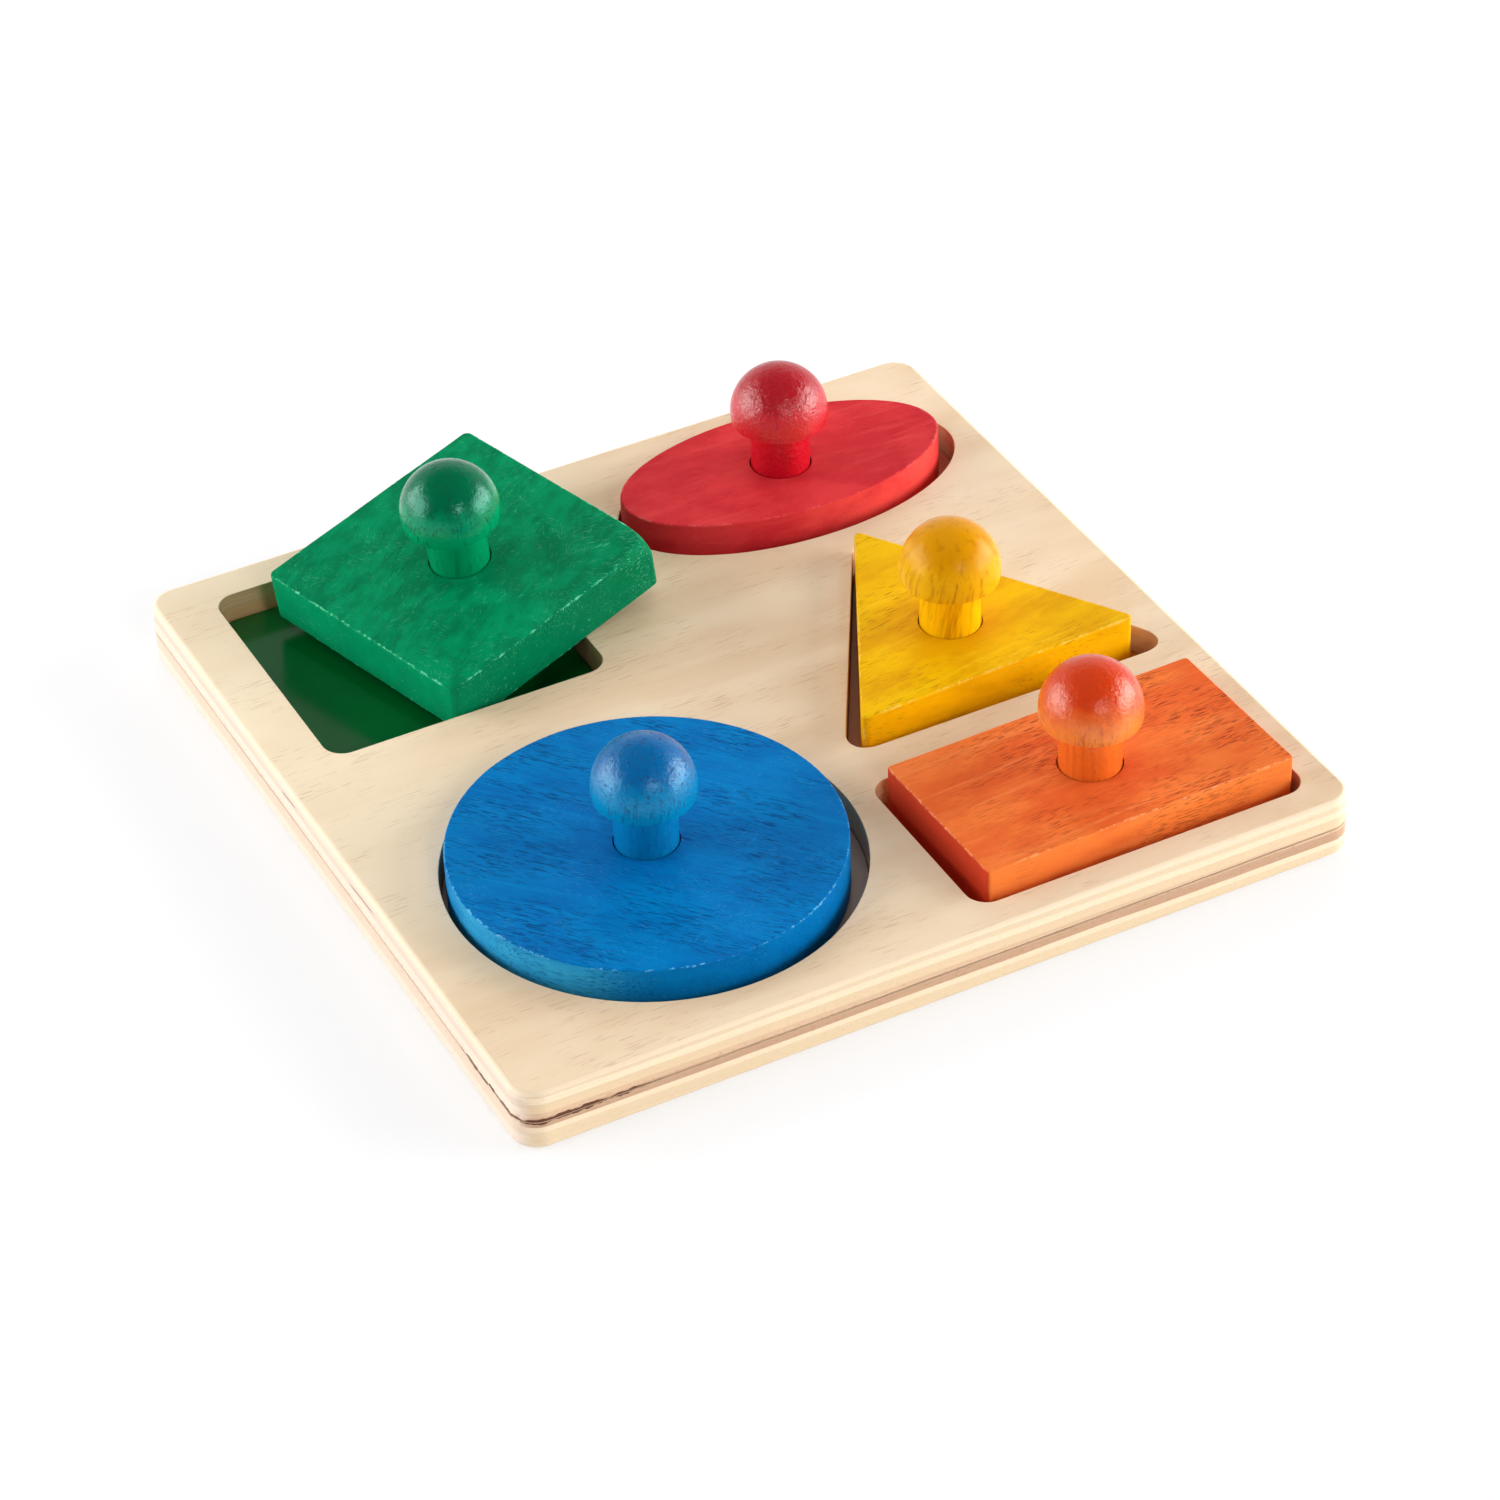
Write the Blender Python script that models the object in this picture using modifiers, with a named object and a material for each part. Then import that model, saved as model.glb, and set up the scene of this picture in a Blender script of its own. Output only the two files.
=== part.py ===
# Wooden shape puzzle: a square plywood board with five recesses, and five thick
# stained blocks that lift out of them by turned mushroom knobs.
# Metres, +Z up. The origin is the middle of the board's underside, +X runs along
# the front edge and +Y from the front edge to the back.
import math

import bmesh
import bpy
from mathutils import Matrix, Vector

MM = 0.001

# Plywood
top_board_thickness = 10.5 * MM
backing_thickness = 10.2 * MM
board_corner_radius = 8.5 * MM
board_edge_radius = 2.0 * MM
recess_floor_thickness = 0.4 * MM

# Blocks
block_thickness = 18.0 * MM
block_corner_radius = 2.0 * MM
block_edge_radius = 1.0 * MM
square_side = 88.0 * MM
oval_length = 113.4 * MM
oval_width = 58.2 * MM
triangle_side = 101.5 * MM
round_diameter = 121.0 * MM
rectangle_length = 108.0 * MM
rectangle_width = 59.6 * MM

# Recesses: the free space round a block, which is wider at the triangle, and the
# radius that the router left in the corners
recess_clearance = 3.7 * MM
triangle_clearance = 5.1 * MM
recess_corner_radius = 7.0 * MM

# Hairline kept between pieces that touch on the real board
seat_gap = 0.3 * MM

# Wood left between a recess and the edge of the board, or the next recess
square_left_margin = 18.0 * MM
square_back_margin = 13.5 * MM
round_left_margin = 17.1 * MM
round_front_margin = 13.0 * MM
rectangle_right_margin = 10.8 * MM
rectangle_front_margin = 10.5 * MM
triangle_right_margin = 11.2 * MM
oval_right_margin = 10.1 * MM
oval_back_margin = 14.8 * MM
web_square_to_oval = 35.7 * MM
web_round_to_square = 29.7 * MM
web_round_to_rectangle = 8.3 * MM
web_round_to_triangle = 14.4 * MM
web_rectangle_to_triangle = 15.7 * MM
web_triangle_to_oval = 10.2 * MM

# Knobs: a turned ball cut flat just under its middle, on a stem let into the block
knob_ball_radius = 16.0 * MM
knob_ball_height = 20.4 * MM
knob_underside_drop = 3.2 * MM
knob_underside_radius = 1.5 * MM
knob_stem_radius = 9.8 * MM
knob_seat_depth = 5.5 * MM

# Countersunk screw, up through the block into the knob
screw_shank_radius = 2.0 * MM
screw_head_radius = 4.0 * MM
screw_head_rim = 0.4 * MM
screw_sink = 0.5 * MM
screw_bite = 14.0 * MM
screw_point_length = 3.0 * MM
screw_slot_width = 0.9 * MM
screw_slot_depth = 1.0 * MM
screw_slot_length = 4.4 * MM

# Where each block lies in the free space of its recess: shares of that space
# along X, along Y and by turning, from -1 to 1
oval_lie = (-0.54, 0.38, -0.54)
triangle_lie = (-0.46, 0.25, 0.52)
round_lie = (-0.44, 0.35, 0.0)
rectangle_lie = (0.38, 0.28, 0.31)

# The square block stands askew: one lower corner down in the recess against its
# front wall, a share of the recess's width from its left wall, and the two lower
# edges beyond that corner on the right and back rims
square_turn = math.radians(17.05)
square_corner_share = 0.454
square_corner_lift = 2.8 * MM

# Facets of the round work
round_facets = 64
upright_corner_facets = 5
board_corner_facets = 8
edge_facets = 2
ball_facets = 9
turned_facets = 28
screw_facets = 12

# Space past a face that a cutter runs
cut_past = 1.0 * MM

# Points closer than this in height, or in plan, count as level, or as upright
same_place = 0.0001 * MM

# Heights
top_board_bottom = backing_thickness + seat_gap
rim_height = top_board_bottom + top_board_thickness
floor_top = top_board_bottom + recess_floor_thickness
block_bottom = floor_top + seat_gap

# Block outlines. A triangle's length is its side, corners taken as sharp.
outlines = {
    "square": {"kind": "rectangle", "length": square_side, "width": square_side},
    "oval": {"kind": "oval", "length": oval_length, "width": oval_width},
    "triangle": {"kind": "triangle", "length": triangle_side},
    "round": {"kind": "oval", "length": round_diameter, "width": round_diameter},
    "rectangle": {"kind": "rectangle", "length": rectangle_length, "width": rectangle_width},
}
clearances = {shape: recess_clearance for shape in outlines}
clearances["triangle"] = triangle_clearance

stains = {
    "square": (0.006, 0.235, 0.098),
    "oval": (0.560, 0.030, 0.040),
    "triangle": (0.830, 0.480, 0.004),
    "round": (0.003, 0.150, 0.480),
    "rectangle": (0.800, 0.140, 0.030),
}
floor_colours = {
    "square": (0.002, 0.070, 0.020),
    "oval": (0.250, 0.020, 0.020),
    "triangle": (0.420, 0.220, 0.010),
    "round": (0.004, 0.060, 0.190),
    "rectangle": (0.380, 0.070, 0.015),
}
plywood_colour = (0.800, 0.640, 0.440)
backing_colour = (0.760, 0.580, 0.390)
screw_colour = (0.620, 0.600, 0.560)


def recess_size(shape):
    """Width along X and depth along Y of a shape's recess, at its rounded corners."""
    outline = outlines[shape]
    clearance = clearances[shape]
    if outline["kind"] == "triangle":
        side = outline["length"] + 2 * math.sqrt(3) * clearance
        return (side - 2 * (math.sqrt(3) - 1) * recess_corner_radius,
                side * math.sqrt(3) / 2 - recess_corner_radius)
    return outline["length"] + 2 * clearance, outline["width"] + 2 * clearance


def lay_out_recesses():
    """Board width and depth, and the middle of each recess, from the margins and webs."""
    width = {shape: recess_size(shape)[0] for shape in outlines}
    depth = {shape: recess_size(shape)[1] for shape in outlines}
    past_round = round_left_margin + width["round"]
    board_width = max(
        square_left_margin + width["square"] + web_square_to_oval + width["oval"] + oval_right_margin,
        past_round + web_round_to_triangle + width["triangle"] + triangle_right_margin,
        past_round + web_round_to_rectangle + width["rectangle"] + rectangle_right_margin,
    )
    triangle_base = rectangle_front_margin + depth["rectangle"] + web_rectangle_to_triangle
    triangle_middle = triangle_base + triangle_side / (2 * math.sqrt(3)) + triangle_clearance
    board_depth = max(
        triangle_base + depth["triangle"] + web_triangle_to_oval + depth["oval"] + oval_back_margin,
        round_front_margin + depth["round"] + web_round_to_square + depth["square"] + square_back_margin,
    )
    right, back = board_width / 2, board_depth / 2
    middles = {
        "square": (-right + square_left_margin + width["square"] / 2,
                   back - square_back_margin - depth["square"] / 2),
        "oval": (right - oval_right_margin - width["oval"] / 2,
                 back - oval_back_margin - depth["oval"] / 2),
        "triangle": (right - triangle_right_margin - width["triangle"] / 2, -back + triangle_middle),
        "round": (-right + round_left_margin + width["round"] / 2,
                  -back + round_front_margin + depth["round"] / 2),
        "rectangle": (right - rectangle_right_margin - width["rectangle"] / 2,
                      -back + rectangle_front_margin + depth["rectangle"] / 2),
    }
    return board_width, board_depth, middles


def clear_scene():
    for old in list(bpy.data.objects):
        bpy.data.objects.remove(old, do_unlink=True)


def new_collection(name):
    collection = bpy.data.collections.new(name)
    bpy.context.scene.collection.children.link(collection)
    return collection


def file_under(item, collection):
    for other in list(item.users_collection):
        other.objects.unlink(item)
    collection.objects.link(item)


def new_material(name, colour, roughness, metallic=0.0):
    made = bpy.data.materials.new(name)
    made.use_nodes = True
    shader = made.node_tree.nodes["Principled BSDF"]
    shader.inputs["Base Color"].default_value = (*colour, 1.0)
    shader.inputs["Roughness"].default_value = roughness
    shader.inputs["Metallic"].default_value = metallic
    return made


def apply_placing(item):
    bpy.ops.object.select_all(action="DESELECT")
    item.select_set(True)
    bpy.context.view_layer.objects.active = item
    bpy.ops.object.transform_apply(location=True, rotation=True, scale=True)


def round_edges(item, radius, facets, wanted):
    """Rounds the edges for which wanted(edge) is true."""
    mesh = bmesh.new()
    mesh.from_mesh(item.data)
    edges = [edge for edge in mesh.edges if wanted(edge)]
    bmesh.ops.bevel(mesh, geom=edges, offset=radius, offset_type="OFFSET", segments=facets,
                    profile=0.5, affect="EDGES", clamp_overlap=True)
    mesh.to_mesh(item.data)
    mesh.free()


def upright(edge):
    low, high = (point.co for point in edge.verts)
    return abs(low.x - high.x) + abs(low.y - high.y) < same_place


def level_at(height):
    return lambda edge: all(abs(point.co.z - height) < same_place for point in edge.verts)


def prism(name, outline, grow, corner_radius, bottom, top):
    """Upright solid on an outline that is grown by `grow` all round."""
    middle = (bottom + top) / 2
    if outline["kind"] == "oval":
        bpy.ops.mesh.primitive_cylinder_add(vertices=round_facets, radius=1, depth=1, location=(0, 0, middle))
        solid = bpy.context.object
        solid.scale = (outline["length"] / 2 + grow, outline["width"] / 2 + grow, top - bottom)
        apply_placing(solid)
    elif outline["kind"] == "triangle":
        bpy.ops.mesh.primitive_cylinder_add(vertices=3, radius=outline["length"] / math.sqrt(3) + 2 * grow,
                                            depth=top - bottom, location=(0, 0, middle))
        solid = bpy.context.object
        apply_placing(solid)
        round_edges(solid, corner_radius * math.sqrt(3), upright_corner_facets, upright)
    else:
        bpy.ops.mesh.primitive_cube_add(size=1, location=(0, 0, middle))
        solid = bpy.context.object
        solid.scale = (outline["length"] + 2 * grow, outline["width"] + 2 * grow, top - bottom)
        apply_placing(solid)
        round_edges(solid, corner_radius, upright_corner_facets, upright)
    solid.name = name
    return solid


def turned(name, profile, facets):
    """Turned piece: (radius, height) points down the outer side, spun round Z."""
    mesh = bpy.data.meshes.new(name)
    points = [(radius, 0, height) for radius, height in profile]
    mesh.from_pydata(points, [(i, i + 1) for i in range(len(points) - 1)], [])
    piece = bpy.data.objects.new(name, mesh)
    bpy.context.scene.collection.objects.link(piece)
    spin = piece.modifiers.new("spin", "SCREW")
    spin.axis = "Z"
    spin.angle = math.tau
    spin.steps = facets
    spin.render_steps = facets
    spin.use_merge_vertices = True
    spin.merge_threshold = 0.01 * MM
    spin.use_smooth_shade = True
    return piece


def cut(item, cutter):
    saw = item.modifiers.new(cutter.name, "BOOLEAN")
    saw.operation = "DIFFERENCE"
    saw.solver = "EXACT"
    saw.object = cutter


def finish(item, name, material, parent=None):
    item.name = name
    item.data.materials.clear()
    item.data.materials.append(material)
    item.parent = parent
    file_under(item, parts)
    item.data.shade_smooth()
    item.data.set_sharp_from_angle(angle=math.radians(30))


def hide_cutter(item, parent=None):
    item.parent = parent
    item.hide_render = True
    item.display_type = "WIRE"
    file_under(item, cutters)


def make_board(board_width, board_depth, middles):
    """Top board with its five cut-outs, and the plain backing under it."""
    plate = {"top_board": (top_board_bottom, rim_height, rim_height),
             "backing_board": (0.0, backing_thickness, 0.0)}
    made = {}
    for name, (bottom, top, rounded_level) in plate.items():
        bpy.ops.mesh.primitive_cube_add(size=1, location=(0, 0, (bottom + top) / 2))
        board = bpy.context.object
        board.scale = (board_width, board_depth, top - bottom)
        apply_placing(board)
        round_edges(board, board_corner_radius, board_corner_facets, upright)
        round_edges(board, board_edge_radius, edge_facets, level_at(rounded_level))
        made[name] = board
    for shape, (x, y) in middles.items():
        cutter = prism(shape + "_cutout", outlines[shape], clearances[shape], recess_corner_radius,
                       top_board_bottom - cut_past, rim_height + cut_past)
        cutter.location = (x, y, 0)
        hide_cutter(cutter)
        cut(made["top_board"], cutter)
    finish(made["top_board"], "top_board", new_material("top_plywood", plywood_colour, 0.5))
    finish(made["backing_board"], "backing_board", new_material("backing_plywood", backing_colour, 0.55))


def make_recess_floor(shape, middle):
    floor = prism(shape + "_recess_floor", outlines[shape], clearances[shape] - seat_gap,
                  recess_corner_radius - seat_gap, top_board_bottom, floor_top)
    floor.location = (*middle, 0)
    material = new_material(shape + "_floor_film", floor_colours[shape], 0.25)
    finish(floor, shape + "_recess_floor", material)


def flat_seat(shape, middle, lie):
    """Placing of a block that lies flat in its recess, shifted and turned in its free space."""
    outline = outlines[shape]
    play = clearances[shape] - seat_gap
    reach = outline["length"] / math.sqrt(3) if outline["kind"] == "triangle" else outline["length"] / 2
    x = middle[0] + lie[0] * play
    y = middle[1] + lie[1] * play
    turn = lie[2] * play / reach
    return Matrix.Translation((x, y, block_bottom)) @ Matrix.Rotation(turn, 4, "Z")


def askew_seat(middle):
    """Placing of the square block: its lowest corner stands off the recess's front wall,
    and its lower edges past that corner lie on the right and the back rim."""
    half_width, half_depth = (size / 2 for size in recess_size("square"))
    right_rim = middle[0] + half_width
    back_rim = middle[1] + half_depth
    front_wall = middle[1] - half_depth
    bearing = rim_height + seat_gap
    low_x = middle[0] + (2 * square_corner_share - 1) * half_width
    low_z = floor_top + square_corner_lift
    corner_relief = block_corner_radius * (math.cos(square_turn) + math.sin(square_turn) - 1)
    rise = (bearing - low_z) / (right_rim - low_x)
    least, most = 0.0, 0.5
    for _ in range(50):
        slope_y = (least + most) / 2
        slope_x = rise - slope_y * math.tan(square_turn)
        low_y = front_wall + seat_gap - corner_relief + slope_y * (rim_height - low_z)
        corner = Vector((low_x, low_y, low_z))
        normal = Vector((-slope_x, -slope_y, 1)).normalized()
        along = Vector((math.cos(square_turn), math.sin(square_turn), rise * math.cos(square_turn))).normalized()
        across = normal.cross(along)
        left_corner = corner + square_side * across
        reach = (back_rim - left_corner.y) / along.y
        if left_corner.z + reach * along.z < bearing:
            least = slope_y
        else:
            most = slope_y
    centre = corner + (along + across) * square_side / 2
    turn = Matrix((along, across, normal)).transposed().to_4x4()
    return Matrix.Translation(centre) @ turn


def seat_profile():
    """Hole through a block: the knob's seat, the screw's hole and its countersink."""
    seat = knob_stem_radius + seat_gap
    hole = screw_shank_radius + seat_gap
    head = screw_head_radius + seat_gap
    mouth = screw_sink + screw_head_rim + seat_gap / 2
    return [
        (0, block_thickness + cut_past),
        (seat, block_thickness + cut_past),
        (seat, block_thickness - knob_seat_depth),
        (hole, block_thickness - knob_seat_depth),
        (hole, mouth + head - hole),
        (head, mouth),
        (head, -cut_past),
        (0, -cut_past),
    ]


def knob_profile():
    """Knob from its crown down the ball, under it, down the stem and up the screw's hole."""
    centre = block_thickness + knob_ball_height
    underside = centre - knob_underside_drop
    fillet_drop = knob_underside_drop - knob_underside_radius
    last = math.pi / 2 + math.asin(fillet_drop / knob_ball_radius)
    profile = []
    for step in range(ball_facets + 1):
        angle = last * step / ball_facets
        profile.append((knob_ball_radius * math.sin(angle), centre + knob_ball_radius * math.cos(angle)))
    rim = profile[-1][0]
    for angle in (math.pi / 4, math.pi / 2):
        profile.append((rim - knob_underside_radius * (1 - math.cos(angle)),
                        centre - fillet_drop - knob_underside_radius * math.sin(angle)))
    hole = screw_shank_radius + seat_gap
    foot = block_thickness - knob_seat_depth + seat_gap
    profile += [
        (knob_stem_radius, underside),
        (knob_stem_radius, foot),
        (hole, foot),
        (hole, foot + screw_bite + seat_gap),
        (0, foot + screw_bite + seat_gap),
    ]
    return profile


def screw_profile():
    """Screw from its point, inside the knob, down to its head in the block's underside."""
    point = block_thickness - knob_seat_depth + seat_gap + screw_bite
    rim = screw_sink + screw_head_rim
    return [
        (0, point),
        (screw_shank_radius, point - screw_point_length),
        (screw_shank_radius, rim + screw_head_radius - screw_shank_radius),
        (screw_head_radius, rim),
        (screw_head_radius, screw_sink),
        (0, screw_sink),
    ]


def make_block(shape, seat):
    """Block, knob and screw on one empty that stands at the middle of the block's underside."""
    base = bpy.data.objects.new(shape + "_seat", None)
    base.matrix_world = seat
    file_under(base, parts)
    stain = stains[shape]

    block = prism(shape + "_block", outlines[shape], 0.0, block_corner_radius, 0.0, block_thickness)
    for level in (0.0, block_thickness):
        round_edges(block, block_edge_radius, edge_facets, level_at(level))
    bore = turned(shape + "_bore", seat_profile(), turned_facets)
    hide_cutter(bore, base)
    cut(block, bore)
    finish(block, shape + "_block", new_material(shape + "_stained_wood", stain, 0.45), base)

    knob = turned(shape + "_knob", knob_profile(), turned_facets)
    finish(knob, shape + "_knob", new_material(shape + "_lacquered_knob", stain, 0.3), base)

    screw = turned(shape + "_knob_screw", screw_profile(), screw_facets)
    for turn in (0, math.pi / 2):
        bpy.ops.mesh.primitive_cube_add(size=1)
        slot = bpy.context.object
        slot.name = shape + "_screw_slot"
        slot.scale = (screw_slot_length, screw_slot_width, 2 * screw_slot_depth)
        apply_placing(slot)
        slot.location = (0, 0, screw_sink)
        slot.rotation_euler = (0, 0, turn)
        hide_cutter(slot, base)
        cut(screw, slot)
    finish(screw, shape + "_knob_screw", new_material(shape + "_plated_screw", screw_colour, 0.3, 1.0), base)


clear_scene()
parts = new_collection("shape_puzzle")
cutters = new_collection("cutters")
whole_width, whole_depth, recess_middles = lay_out_recesses()
make_board(whole_width, whole_depth, recess_middles)
for shape_name, recess_middle in recess_middles.items():
    make_recess_floor(shape_name, recess_middle)
make_block("square", askew_seat(recess_middles["square"]))
make_block("oval", flat_seat("oval", recess_middles["oval"], oval_lie))
make_block("triangle", flat_seat("triangle", recess_middles["triangle"], triangle_lie))
make_block("round", flat_seat("round", recess_middles["round"], round_lie))
make_block("rectangle", flat_seat("rectangle", recess_middles["rectangle"], rectangle_lie))
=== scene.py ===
# Wooden shape puzzle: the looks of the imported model, in a white studio.
# Sizes and patterns are in millimetres, and meshes are made at mm = 0.001 of a metre.
import math

import bmesh
import bpy
from mathutils import Euler, Matrix, Vector


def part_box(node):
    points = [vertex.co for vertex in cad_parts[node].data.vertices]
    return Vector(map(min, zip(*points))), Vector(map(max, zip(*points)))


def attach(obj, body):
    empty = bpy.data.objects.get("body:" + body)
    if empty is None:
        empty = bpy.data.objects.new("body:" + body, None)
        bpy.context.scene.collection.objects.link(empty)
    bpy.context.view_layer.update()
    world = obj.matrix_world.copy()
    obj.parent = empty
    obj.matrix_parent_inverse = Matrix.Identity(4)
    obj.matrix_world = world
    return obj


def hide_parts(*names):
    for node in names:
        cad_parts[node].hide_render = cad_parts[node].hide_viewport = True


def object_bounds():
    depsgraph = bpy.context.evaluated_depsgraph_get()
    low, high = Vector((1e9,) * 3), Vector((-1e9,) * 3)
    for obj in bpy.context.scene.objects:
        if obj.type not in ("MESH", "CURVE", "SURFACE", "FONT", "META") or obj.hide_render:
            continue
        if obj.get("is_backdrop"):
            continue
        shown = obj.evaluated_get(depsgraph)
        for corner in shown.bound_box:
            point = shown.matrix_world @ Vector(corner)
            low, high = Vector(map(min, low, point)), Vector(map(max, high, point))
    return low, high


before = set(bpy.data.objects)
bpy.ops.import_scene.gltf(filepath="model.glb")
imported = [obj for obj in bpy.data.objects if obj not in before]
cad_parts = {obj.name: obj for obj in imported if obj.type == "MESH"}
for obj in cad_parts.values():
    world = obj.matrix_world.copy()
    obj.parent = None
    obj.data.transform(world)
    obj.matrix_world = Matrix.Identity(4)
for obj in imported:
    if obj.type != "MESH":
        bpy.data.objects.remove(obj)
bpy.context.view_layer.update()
mm = 0.001
hair = 1e-6  # metres: places closer together than this count as one


# Colours are written as they are seen, 0 to 255, and go to the sockets as linear light
def seen(red, green, blue):
    def linear(level):
        share = level / 255
        return share / 12.92 if share <= 0.04045 else ((share + 0.055) / 1.055) ** 2.4

    return (linear(red), linear(green), linear(blue), 1.0)


# A socket that can be reckoned with, and a material that makes its own nodes
class Wire:
    def __init__(self, finish, socket):
        self.finish = finish
        self.socket = socket

    def maths(self, operation, first, second=0.0):
        return self.finish.node("ShaderNodeMath", {"operation": operation}, {0: first, 1: second})

    def __add__(self, other):
        return self.maths("ADD", self, other)

    def __radd__(self, other):
        return self.maths("ADD", other, self)

    def __sub__(self, other):
        return self.maths("SUBTRACT", self, other)

    def __rsub__(self, other):
        return self.maths("SUBTRACT", other, self)

    def __mul__(self, other):
        return self.maths("MULTIPLY", self, other)

    def __rmul__(self, other):
        return self.maths("MULTIPLY", other, self)

    def __truediv__(self, other):
        return self.maths("DIVIDE", self, other)

    def __abs__(self):
        return self.maths("ABSOLUTE", self)

    def root(self):
        return self.maths("SQRT", self)

    def over(self, other):  # the larger of the two
        return self.maths("MAXIMUM", self, other)


class Finish:
    def __init__(self, name, seat=None):
        self.material = bpy.data.materials.new(name)
        self.material.use_nodes = True
        self.tree = self.material.node_tree
        self.tree.nodes.clear()
        middle, turn = (seat.to_translation(), seat.to_euler()) if seat else (Vector(), Euler())
        row = self.node("ShaderNodeTexCoord", output="Object")
        # millimetres in the piece's own frame from here on
        self.place = self.node("ShaderNodeMapping", {"vector_type": "TEXTURE"},
                               {0: row, 1: middle, 2: turn, 3: (mm, mm, mm)})
        self.x, self.y, self.z = self.split(self.place)

    def node(self, kind, settings=None, values=None, output=0):
        made = self.tree.nodes.new(kind)
        for name, setting in (settings or {}).items():
            if name == "stops":
                self.setStops(made.color_ramp, setting)
            else:
                setattr(made, name, setting)
        for name, value in (values or {}).items():
            if isinstance(value, Wire):
                self.tree.links.new(value.socket, made.inputs[name])
            else:
                made.inputs[name].default_value = value
        return Wire(self, made.outputs[output])

    def setStops(self, ramp, stops):
        while len(ramp.elements) < len(stops):
            ramp.elements.new(1.0)
        for element, (position, colour) in zip(ramp.elements, stops):
            element.position = position
            element.color = colour

    def split(self, vector):
        return [self.node("ShaderNodeSeparateXYZ", None, {0: vector}, output=i) for i in range(3)]

    def noise(self, stretch, detail=2.0, roughness=0.5, shift=(0, 0, 0), twist=0.0, where=None):
        # stretch: waves to a millimetre along each axis, after a turn by twist about Z
        turned = self.node("ShaderNodeMapping", {"vector_type": "TEXTURE"},
                           {0: where or self.place, 2: (0, 0, twist)})
        scaled = self.node("ShaderNodeVectorMath", {"operation": "MULTIPLY_ADD"},
                           {0: turned, 1: stretch, 2: shift})
        return self.node("ShaderNodeTexNoise", None,
                         {"Vector": scaled, "Scale": 1.0, "Detail": detail, "Roughness": roughness})

    def step(self, value, low, high):  # 0 below low, 1 above high, soft between
        return self.node("ShaderNodeMapRange", {"interpolation_type": "SMOOTHSTEP"},
                         {0: value, 1: low, 2: high})

    def blend(self, share, first, second):
        return self.node("ShaderNodeMix", {"data_type": "RGBA"},
                         {0: share, 6: first, 7: second}, output=2)

    def ramp(self, value, stops):
        return self.node("ShaderNodeValToRGB", {"stops": stops}, {0: value})

    def toward(self, direction):  # 1 where the surface faces that way, -1 where it faces away
        normal = self.node("ShaderNodeTexCoord", output="Normal")
        return self.node("ShaderNodeVectorMath", {"operation": "DOT_PRODUCT"},
                         {0: normal, 1: direction}, output=1)

    def distance(self, point):
        return self.node("ShaderNodeVectorMath", {"operation": "DISTANCE"},
                         {0: self.place, 1: point}, output=1)

    def surface(self, colour, roughness, relief=None, depth=0.1, extra=None):
        values = {"Base Color": colour, "Roughness": roughness, **(extra or {})}
        if relief:
            bump = {"Strength": 1.0, "Distance": depth * mm, "Height": relief}
            values["Normal"] = self.node("ShaderNodeBump", None, bump)
        self.close(self.node("ShaderNodeBsdfPrincipled", None, values))
        return self.material

    def close(self, shader, kind="ShaderNodeOutputMaterial"):
        end = self.tree.nodes.new(kind)
        self.tree.links.new(shader.socket, end.inputs["Surface"])

    def rays(self):  # 1 for a ray from the camera, for a mirrored one, and for one passed through
        return [self.node("ShaderNodeLightPath", output="Is " + kind + " Ray")
                for kind in ("Camera", "Glossy", "Transmission")]


# What is done by hand in edit mode
def only(piece):
    bpy.ops.object.select_all(action="DESELECT")
    piece.select_set(True)
    bpy.context.view_layer.objects.active = piece


def settle(piece):  # the object back to the origin, its place kept in its mesh
    only(piece)
    bpy.ops.object.transform_apply(location=True, rotation=True, scale=True)


def pick(piece, kind, wanted):  # into edit mode, with the wanted edges or faces selected
    only(piece)
    bpy.ops.object.mode_set(mode="EDIT")
    bpy.ops.mesh.select_mode(type=kind)
    bpy.ops.mesh.select_all(action="DESELECT")
    mesh = bmesh.from_edit_mesh(piece.data)
    for part in mesh.edges if kind == "EDGE" else mesh.faces:
        if wanted(part):
            part.select_set(True)
    bmesh.update_edit_mesh(piece.data)


def leave():
    bpy.ops.object.mode_set(mode="OBJECT")


def bevelEdges(piece, wanted, radius, segments):
    pick(piece, "EDGE", wanted)
    bpy.ops.mesh.bevel(offset=radius, segments=segments, affect="EDGES", clamp_overlap=True)
    leave()


def upright(edge):
    low, high = (point.co for point in edge.verts)
    return (low - high).to_2d().length < hair


def levelAt(height):
    return lambda edge: all(abs(point.co.z - height) < hair for point in edge.verts)


def addLoops(piece, spacing):  # loops across the piece, so that it can be worn out of true
    for axis in (0, 1):
        low = min(point.co[axis] for point in piece.data.vertices)
        high = max(point.co[axis] for point in piece.data.vertices)
        count = int((high - low) / spacing)
        direction = Vector((0, 0, 0))
        direction[axis] = 1
        for i in range(1, count):
            pick(piece, "FACE", lambda face: True)
            bpy.ops.mesh.bisect(plane_co=direction * (low + (high - low) * i / count),
                                plane_no=direction, threshold=hair)
            leave()


def wear(piece, depth, spread):  # uneven sanding, always inwards
    clouds = bpy.data.textures.new(piece.name + "Wear", "CLOUDS")
    clouds.noise_scale = spread
    clouds.noise_depth = 2
    uneven = piece.modifiers.new("wear", "DISPLACE")
    uneven.texture = clouds
    uneven.texture_coords = "LOCAL"
    uneven.strength = depth
    uneven.mid_level = 1.0
    only(piece)
    bpy.ops.object.modifier_apply(modifier="wear")


def carve(piece, cutter, how="DIFFERENCE"):
    saw = piece.modifiers.new("carve", "BOOLEAN")
    saw.operation = how
    saw.solver = "EXACT"
    saw.object = cutter
    only(piece)
    bpy.ops.object.modifier_apply(modifier="carve")
    bpy.data.objects.remove(cutter)


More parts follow.
